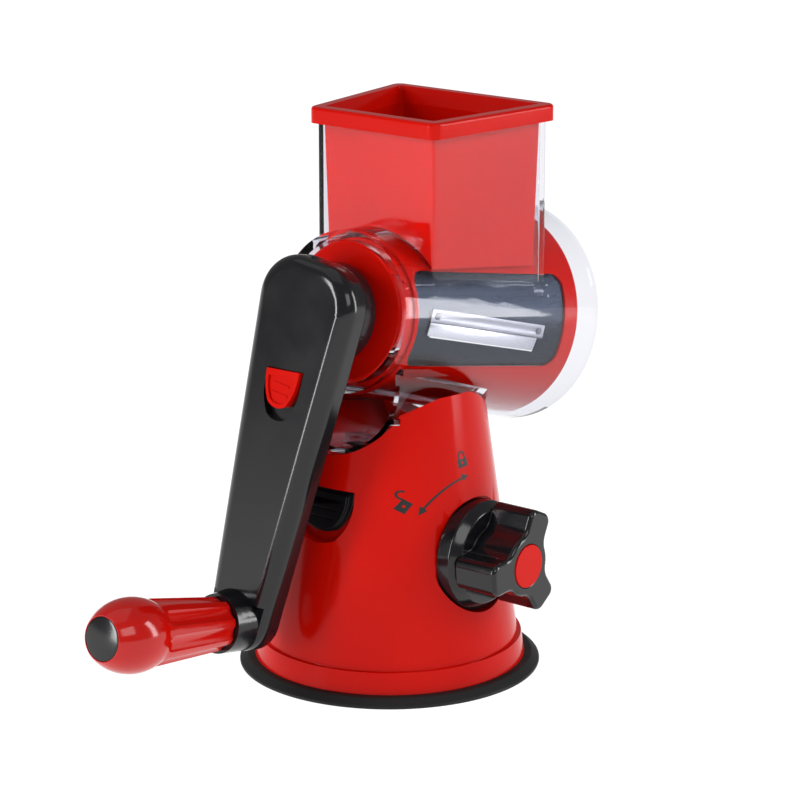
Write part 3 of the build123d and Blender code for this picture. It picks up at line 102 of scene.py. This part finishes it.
def node(tree, kind, settings=(), links=()):
    """Add a node, set its inputs and properties by name, and link other nodes' outputs to it."""
    new = tree.nodes.new(kind)
    for name, value in dict(settings).items():
        if name in new.inputs:
            new.inputs[name].default_value = value
        else:
            setattr(new, name, value)
    for name, output in dict(links).items():
        tree.links.new(output, new.inputs[name])
    return new


def new_material(name):
    """A material with its node tree and its main shader."""
    material = bpy.data.materials.new(name)
    material.use_nodes = True
    tree = material.node_tree
    return material, tree, tree.nodes["Principled BSDF"]


def matte_paper(name, colour, glow):
    """Backdrop paper, lit from under as a studio's light table is: a plain white with no edge."""
    material, tree, surface = new_material(name)
    surface.inputs["Base Color"].default_value = shade(colour)
    surface.inputs["Roughness"].default_value = 0.9
    surface.inputs["Emission Color"].default_value = (1, 1, 1, 1)
    surface.inputs["Emission Strength"].default_value = glow
    return material


def moulded_plastic(name, colour, dark, rough, peel_mm, peel_depth, shine=0.5):
    """Injection-moulded plastic: an even colour with faint flow shading, a slight orange peel in
    the gloss, and a few rubbed patches."""
    material, tree, surface = new_material(name)
    place = node(tree, "ShaderNodeTexCoord")
    spot = {"Vector": place.outputs["Object"]}
    flow = node(tree, "ShaderNodeTexNoise", {"Scale": 22.0, "Detail": 3.0}, spot)
    tone = node(tree, "ShaderNodeValToRGB", {}, {"Fac": flow.outputs["Fac"]})
    tone.color_ramp.elements[0].position = 0.3
    tone.color_ramp.elements[0].color = shade(dark)
    tone.color_ramp.elements[1].position = 0.7
    tone.color_ramp.elements[1].color = shade(colour)
    tree.links.new(tone.outputs["Color"], surface.inputs["Base Color"])
    rub = node(tree, "ShaderNodeTexNoise", {"Scale": 60.0, "Detail": 6.0}, spot)
    gloss = node(
        tree,
        "ShaderNodeMapRange",
        {"From Min": 0.35, "From Max": 0.75, "To Min": rough, "To Max": rough * 1.5},
        {"Value": rub.outputs["Fac"]},
    )
    tree.links.new(gloss.outputs["Result"], surface.inputs["Roughness"])
    peel = node(tree, "ShaderNodeTexNoise", {"Scale": 1000.0 / peel_mm, "Detail": 1.0}, spot)
    height = {"Height": peel.outputs["Fac"]}
    bump = node(tree, "ShaderNodeBump", {"Strength": peel_depth, "Distance": 0.0002}, height)
    tree.links.new(bump.outputs["Normal"], surface.inputs["Normal"])
    surface.inputs["IOR"].default_value = 1.53
    surface.inputs["Specular IOR Level"].default_value = shine
    return material


def clear_plastic(name):
    """Clear styrene: see-through, water-white and polished, with faint waviness from the mould, and
    a painted edge shade that turns its colour grey-lavender where the walls are seen at a grazing
    angle. It lets lamps through, as the real one does, so that what is inside is lit."""
    material, tree, surface = new_material(name)
    place = node(tree, "ShaderNodeTexCoord")
    spot = {"Vector": place.outputs["Object"]}
    wave = node(tree, "ShaderNodeTexNoise", {"Scale": 60.0, "Detail": 1.0}, spot)
    height = {"Height": wave.outputs["Fac"]}
    bump = node(tree, "ShaderNodeBump", {"Strength": 0.008, "Distance": 0.0005}, height)
    tree.links.new(bump.outputs["Normal"], surface.inputs["Normal"])
    # painted edge shade: the colour goes from near white face-on to grey-lavender at grazing
    # angles, where the walls' edges show
    edge = node(tree, "ShaderNodeLayerWeight", {"Blend": 0.35})
    tone = node(tree, "ShaderNodeValToRGB", {}, {"Fac": edge.outputs["Facing"]})
    tone.color_ramp.elements[0].position = 0.1
    tone.color_ramp.elements[0].color = shade("#f4f4f8")
    tone.color_ramp.elements[1].position = 0.9
    tone.color_ramp.elements[1].color = shade("#b4b7c6")
    tree.links.new(tone.outputs["Color"], surface.inputs["Base Color"])
    surface.inputs["Roughness"].default_value = 0.02
    surface.inputs["IOR"].default_value = 1.13
    surface.inputs["Transmission Weight"].default_value = 1.0
    surface.inputs["Coat Weight"].default_value = 0.35
    surface.inputs["Coat IOR"].default_value = 1.55
    surface.inputs["Coat Roughness"].default_value = 0.03
    path = node(tree, "ShaderNodeLightPath")
    through = node(tree, "ShaderNodeBsdfTransparent", {"Color": shade("#f4f4f8")})
    mix = node(tree, "ShaderNodeMixShader", {}, {"Fac": path.outputs["Is Shadow Ray"]})
    tree.links.new(surface.outputs["BSDF"], mix.inputs[1])
    tree.links.new(through.outputs["BSDF"], mix.inputs[2])
    tree.links.new(mix.outputs["Shader"], tree.nodes["Material Output"].inputs["Surface"])
    return material


def stainless_sheet(name, colour, rough, grain_mm):
    """Rolled stainless steel: fine straight grain, a soft sheen."""
    material, tree, surface = new_material(name)
    place = node(tree, "ShaderNodeTexCoord")
    across = 1000.0 / grain_mm
    spot = {"Vector": place.outputs["Object"]}
    stretch = node(tree, "ShaderNodeMapping", {"Scale": (40.0, across, across)}, spot)
    lines = {"Vector": stretch.outputs["Vector"]}
    grain = node(tree, "ShaderNodeTexNoise", {"Scale": 1.0, "Detail": 4.0}, lines)
    gloss = node(
        tree,
        "ShaderNodeMapRange",
        {"From Min": 0.3, "From Max": 0.7, "To Min": rough * 0.8, "To Max": rough * 1.4},
        {"Value": grain.outputs["Fac"]},
    )
    tree.links.new(gloss.outputs["Result"], surface.inputs["Roughness"])
    height = {"Height": grain.outputs["Fac"]}
    bump = node(tree, "ShaderNodeBump", {"Strength": 0.1, "Distance": 0.00005}, height)
    tree.links.new(bump.outputs["Normal"], surface.inputs["Normal"])
    surface.inputs["Base Color"].default_value = shade(colour)
    surface.inputs["Metallic"].default_value = 1.0
    return material


def printing_ink(name, colour):
    """Pad-printed ink: a thin matt film, slightly uneven where the pad lifted off."""
    material, tree, surface = new_material(name)
    place = node(tree, "ShaderNodeTexCoord")
    spot = {"Vector": place.outputs["Object"]}
    grain = node(tree, "ShaderNodeTexNoise", {"Scale": 900.0, "Detail": 3.0}, spot)
    value = {"Value": grain.outputs["Fac"]}
    gloss = node(tree, "ShaderNodeMapRange", {"To Min": 0.4, "To Max": 0.6}, value)
    tree.links.new(gloss.outputs["Result"], surface.inputs["Roughness"])
    surface.inputs["Base Color"].default_value = shade(colour)
    return material


def paint(name, material):
    """Give a CAD node one material. An eased copy takes it along."""
    piece = frame["nodes"][name]
    piece.data.materials.clear()
    piece.data.materials.append(material)


# ---------------------------------------------------------------- pieces

BODIES = frame["record"]["behaviour"]["bodies"]
BODY_OF = {name: body for body, names in BODIES.items() for name in names}


def only(piece):
    """Make one object the only selected and the active one."""
    bpy.ops.object.select_all(action="DESELECT")
    piece.select_set(True)
    bpy.context.view_layer.objects.active = piece


def apply_modifier(piece, kind, **settings):
    """Add a modifier, set it and apply it."""
    only(piece)
    modifier = piece.modifiers.new(kind.lower(), kind)
    for name, value in settings.items():
        setattr(modifier, name, value)
    bpy.ops.object.modifier_apply(modifier=modifier.name)


def place(piece, body, *nodes):
    """A finished piece rides on its body and stands for the CAD nodes that it replaces."""
    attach(piece, body)
    if nodes:
        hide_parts(*nodes)


def merged_copy(name):
    """A copy of a CAD node's mesh with its loose triangles joined and its flat faces made whole."""
    source = frame["nodes"][name]
    piece = bpy.data.objects.new(f"{name}_finished", source.data.copy())
    bpy.context.scene.collection.objects.link(piece)
    piece.data.transform(source.matrix_world)
    only(piece)
    bpy.ops.object.mode_set(mode="EDIT")
    bpy.ops.mesh.select_all(action="SELECT")
    bpy.ops.mesh.remove_doubles(threshold=JOIN_WITHIN * MM)
    bpy.ops.mesh.dissolve_limited(angle_limit=radians(0.4))
    bpy.ops.object.mode_set(mode="OBJECT")
    return piece


def eased(name, width_mm, steps=2, sharp=28.0):
    """A moulded piece with its edges eased, as they leave the mould or the deburring wheel."""
    piece = merged_copy(name)
    apply_modifier(
        piece,
        "BEVEL",
        width=width_mm * MM,
        segments=steps,
        limit_method="ANGLE",
        angle_limit=radians(sharp),
        miter_outer="MITER_ARC",
        use_clamp_overlap=True,
    )
    only(piece)
    bpy.ops.object.shade_smooth_by_angle(angle=radians(40))
    apply_modifier(piece, "WEIGHTED_NORMAL", keep_sharp=True, weight=80)
    place(piece, BODY_OF[name], name)
    return piece


add_camera()
add_stage()
add_softbox("key", (-0.55, -1.65, 1.15), (0, 0, 0.12), (0.9, 0.9), 8)
add_softbox("left strip", (-1.45, 0.62, 0.45), (0, 0, 0.12), (0.3, 1.3), 18)
add_softbox("right strip", (0.95, -1.35, 0.5), (0, 0, 0.12), (0.34, 1.4), 14)
add_softbox("top", (-0.2, 0.2, 1.6), (0, 0, 0.12), (1.4, 1.4), 2.5)

RED = moulded_plastic("glossy red ABS", "#cc1004", "#c40c03", 0.12, 1.6, 0.025, 0.1)
BLACK = moulded_plastic("black ABS", "#141417", "#0f0f12", 0.12, 1.2, 0.02, 0.42)
RUBBER = moulded_plastic("black rubber", "#1b1b1c", "#151516", 0.5, 0.8, 0.2, 0.3)
NYLON = moulded_plastic("natural nylon", "#d8d5c9", "#cdc9bb", 0.4, 1.0, 0.1)
GRIP_RED = moulded_plastic("polished red grip", "#c00e05", "#b60a04", 0.1, 1.6, 0.02, 0.4)
CLEAR = clear_plastic("clear styrene")
STEEL = stainless_sheet("stainless steel", "#c9cace", 0.24, 0.25)
FLANGE = stainless_sheet("rolled blade flange", "#b9bbc1", 0.4, 0.3)
# rivet steel, also put on the blades' folds as painted crease shade
RIVET_STEEL_AND_FOLD_SHADE = stainless_sheet("rivet steel and painted fold shade", "#7d8087", 0.3, 0.2)
EDGE = stainless_sheet("ground blade edge", "#dcdee3", 0.22, 0.12)
INK = printing_ink("black pad print", "#141214")
SHEET = stainless_sheet("stainless drum sheet", "#333944", 0.3, 0.25)

BY_SLOT = {
    "red_abs": RED,
    "black_abs": BLACK,
    "clear_plastic": CLEAR,
    "black_rubber": RUBBER,
    "nylon": NYLON,
    "steel": STEEL,
    "dark_steel": SHEET,
}
SLOT_OF = {row["node"]: row["material_slot"] for row in frame["record"]["subparts"]}
for name, slot in SLOT_OF.items():
    paint(name, BY_SLOT[slot])
paint("blade_rivets", RIVET_STEEL_AND_FOLD_SHADE)
paint("grip_sleeve", GRIP_RED)

# how far each piece's edges are eased, in millimetres
EASED = {
    "base_housing": 0.8,
    "suction_cup": 0.4,
    "base_bottom_cover": 0.4,
    "lock_knob": 0.9,
    "knob_disc": 0.3,
    "latch_button": 0.5,
    "barrel": 0.45,
    "pusher": 0.5,
    "drum_body": 0.5,
    "crank_hub": 0.5,
    "arm_front_shell": 0.5,
    "arm_back_cover": 0.5,
    "crank_button": 0.4,
    "grip_sleeve": 0.5,
    "grip_end_cap": 0.4,
}
for name, width_mm in EASED.items():
    piece = eased(name, width_mm)

# ---------------------------------------------------------------- slicing blades

TILT = radians(10.04)
ALONG = Vector((cos(TILT), 0, -sin(TILT)))
UPWARD = Vector((sin(TILT), 0, cos(TILT)))
CENTRE = Vector((0, 0, 154.5))
BLADE_START = (-12.8, 0.5)  # station in millimetres, and degrees over the level
BLADE_END = (54.6, -8.6)
BLADE_SINK = 0.75
BLADE_WIDTH = 5.6  # of the flange, and of the lip
BLADE_THICKNESS = 0.55
BLADE_RIVET_INSET = 3.4  # from each end
BLADE_RIVET_HEIGHT = 2.9  # over the fold
BLADE_RIVET_HOLE = 0.95  # radius
LIP_RISE = 0.28  # of the lip's edge
LIP_SLANT = 1.6  # of its cut end
LIP_START_SLANT = 0.9


def drum_radius(station):
    """Outside radius of the drum's cone at a station."""
    return 44.595 - 0.14286 * (74.0 - station)


def drum_point(station, angle, radius):
    """A point about the drum's axis, its angle counted up from the level on the -Y side."""
    out = Vector((0, -cos(radians(angle)), 0)) + UPWARD * sin(radians(angle))
    return CENTRE + ALONG * station + out * radius


def box_piece(name, low, high):
    """A block between two corners, in millimetres."""
    bpy.ops.object.select_all(action="DESELECT")
    middle = [(a + b) / 2 * MM for a, b in zip(low, high)]
    size = [(b - a) * MM for a, b in zip(low, high)]
    bpy.ops.mesh.primitive_cube_add(size=1.0, location=middle, scale=size)
    piece = bpy.context.object
    piece.name = name
    bpy.ops.object.transform_apply(location=True, rotation=True, scale=True)
    return piece


def cut(piece, cutter):
    """Take one piece's shape out of another."""
    apply_modifier(piece, "BOOLEAN", operation="DIFFERENCE", object=cutter, solver="EXACT")
    bpy.data.objects.remove(cutter)


def join(pieces):
    """Make several objects one, under the first one's name."""
    bpy.ops.object.select_all(action="DESELECT")
    for piece in pieces:
        piece.select_set(True)
    bpy.context.view_layer.objects.active = pieces[0]
    bpy.ops.object.join()
    return pieces[0]


def hole(place, radius, depth):
    """A cylinder to cut with, upright, its place, radius and depth in millimetres."""
    bpy.ops.object.select_all(action="DESELECT")
    bpy.ops.mesh.primitive_cylinder_add(
        vertices=24, radius=radius * MM, depth=depth * MM, location=[v * MM for v in place]
    )
    return bpy.context.object


def model_blades():
    """Three blades alike: a rolled flange with a rivet hole at each end, a fold, a ground lip."""
    low = drum_point(*BLADE_START, drum_radius(BLADE_START[0]) - BLADE_SINK)
    high = drum_point(*BLADE_END, drum_radius(BLADE_END[0]) - BLADE_SINK)
    way = (high - low).normalized()
    middle_angle = (BLADE_START[1] + BLADE_END[1]) / 2
    out = drum_point(0, middle_angle, 1) - drum_point(0, middle_angle, 0)
    out = (out - way * out.dot(way)).normalized()
    half = (high - low).length / 2
    flange = box_piece("flange", (-half, 0.35, 0), (half, BLADE_WIDTH, BLADE_THICKNESS))
    for side in (-1, 1):
        spot = (side * (half - BLADE_RIVET_INSET), BLADE_RIVET_HEIGHT, 0.5)
        cut(flange, hole(spot, BLADE_RIVET_HOLE, 4))
    flange.data.materials.append(FLANGE)
    # the fold wears the darker rivet steel as painted crease shade: a dark line between flange and
    # lip
    fold = box_piece("fold", (-half, -0.25, 0.05), (half, 0.4, 0.36))
    fold.data.materials.append(RIVET_STEEL_AND_FOLD_SHADE)
    lip = box_piece("lip", (-half - 0.6, -BLADE_WIDTH, 0.1), (half - 3.2, -0.2, BLADE_THICKNESS))
    lip.data.materials.append(EDGE)
    # the lip leans out to its edge, and its far end is cut aslant
    for vertex in lip.data.vertices:
        share = -vertex.co.y / (BLADE_WIDTH * MM)
        vertex.co.z += LIP_RISE * MM * share
        if vertex.co.x > 0:
            vertex.co.x -= LIP_SLANT * MM * share
        else:
            vertex.co.x += LIP_START_SLANT * MM * (1 - share)
    for part in (flange, fold, lip):
        apply_modifier(part, "BEVEL", width=0.08 * MM, segments=2, limit_method="ANGLE")
    blade = join([flange, fold, lip])
    side = out.cross(way)
    turned = Matrix((way, side, out)).transposed().to_4x4()
    middle = (low + high) / 2 * MM
    blade.data.transform(Matrix.Translation(middle) @ turned)
    axis_line = Matrix.Translation(CENTRE * MM)
    copies = [blade]
    for index in (1, 2):
        copy = blade.copy()
        copy.data = blade.data.copy()
        bpy.context.scene.collection.objects.link(copy)
        spin = axis_line @ Matrix.Rotation(radians(120 * index), 4, ALONG) @ axis_line.inverted()
        copy.data.transform(spin)
        copies.append(copy)
    blades = join(copies)
    blades.name = "slicing_blades_finished"
    only(blades)
    bpy.ops.object.shade_smooth_by_angle(angle=radians(30))
    place(blades, BODY_OF["slicing_blades"], "slicing_blades")


model_blades()

# ---------------------------------------------------------------- marks on the base

KNOB_HEIGHT = 56.8
SHELL_RADIUS = 57.2  # of the base's cone, drawn down to the table
SHELL_SLOPE = 0.1395
INK_DEPTH = 0.06  # thicker than real ink, so that it shows


def on_shell(x, z):
    """The point of the base's skin over the knob's side, x and z from the knob's centre."""
    height = KNOB_HEIGHT + z
    radius = SHELL_RADIUS - SHELL_SLOPE * height
    return Vector((x, -sqrt(radius**2 - x**2), height))


def printed(name, outlines):
    """Closed outlines, in millimetres about the knob's centre, printed on the base's skin. An
    outline inside another one is left bare."""
    curve = bpy.data.curves.new(name, "CURVE")
    curve.dimensions = "2D"
    curve.fill_mode = "BOTH"
    for outline in outlines:
        spline = curve.splines.new("POLY")
        spline.points.add(len(outline) - 1)
        for point, (x, z) in zip(spline.points, outline):
            point.co = (x * MM, z * MM, 0, 1)
        spline.use_cyclic_u = True
    mark = bpy.data.objects.new(name, curve)
    bpy.context.scene.collection.objects.link(mark)
    only(mark)
    bpy.ops.object.convert(target="MESH")
    mark = bpy.context.object
    for vertex in mark.data.vertices:
        vertex.co = on_shell(vertex.co.x / MM, vertex.co.y / MM) * MM
    only(mark)
    bpy.ops.object.mode_set(mode="EDIT")
    bpy.ops.mesh.select_all(action="SELECT")
    bpy.ops.mesh.remove_doubles(threshold=JOIN_WITHIN * MM)
    bpy.ops.mesh.normals_make_consistent(inside=False)
    bpy.ops.object.mode_set(mode="OBJECT")
    if sum(face.normal.y for face in mark.data.polygons) > 0:
        mark.data.flip_normals()
    apply_modifier(mark, "SOLIDIFY", thickness=2 * INK_DEPTH * MM, offset=0.0)
    mark.data.materials.append(INK)
    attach(mark, "base")


def on_ring(radius, angle):
    """The point of a circle about the knob's centre at an angle in degrees."""
    return (radius * cos(radians(angle)), radius * sin(radians(angle)))


def ring_arc(radius, start, end, steps=40):
    """Points on a circle about the knob's centre, from one angle in degrees to another."""
    return [on_ring(radius, start + (end - start) * index / steps) for index in range(steps + 1)]


def arrow(radius, start, end, width, head, barb):
    """A curved arrow with a head at each end."""
    turn = 360 * head / (2 * pi * radius)
    sense = 1 if end > start else -1
    shaft_start = start + sense * turn
    shaft_end = end - sense * turn
    outer = ring_arc(radius + width / 2, shaft_start, shaft_end)
    inner = ring_arc(radius - width / 2, shaft_end, shaft_start)
    tips = [
        [on_ring(radius + barb, at), on_ring(radius, tip), on_ring(radius - barb, at)]
        for at, tip in ((shaft_end, end), (shaft_start, start))
    ]
    return outer + tips[0] + inner + tips[1][::-1]


def padlock(radius, angle, tilt, shut):
    """A padlock's outline: a body with a keyhole, and a bow that stands open or shut."""
    body = [(-2.6, -3.0), (2.6, -3.0), (2.6, 0.8), (-2.6, 0.8)]
    hole_turns = [radians(30 * index) for index in range(12)]
    keyhole = [(0.6 * cos(turn), -1.1 + 0.6 * sin(turn)) for turn in hole_turns]
    shift = 0.0 if shut else 3.6
    turns = [radians(180 - 15 * index) for index in range(13)]
    bow = [(-1.9, 0.8)] + [(1.9 * cos(turn), 2.2 + 1.9 * sin(turn)) for turn in turns]
    end = 0.8 if shut else 1.9
    bow += [(1.9, end), (1.1, end)]
    bow += [(1.1 * cos(turn), 2.2 + 1.1 * sin(turn)) for turn in turns[::-1]] + [(-1.1, 0.8)]
    bow = [(x + shift, z) for x, z in bow]
    middle = on_ring(radius, angle)
    lean = radians(tilt)

    def put(points):
        return [
            (
                middle[0] + x * cos(lean) - z * sin(lean),
                middle[1] + x * sin(lean) + z * cos(lean),
            )
            for x, z in points
        ]

    return [put(body), put(keyhole)], [put(bow)]


printed("turn_arrow_mark", [arrow(34.5, 142.0, 94.0, 0.9, 3.6, 1.7)])
for name, angle, shut in (("shut", 97.0, True), ("open", 141.0, False)):
    body_lines, bow_lines = padlock(41.5, angle, angle - 90, shut)
    printed(f"{name}_padlock_mark", body_lines)
    printed(f"{name}_padlock_bow_mark", bow_lines)
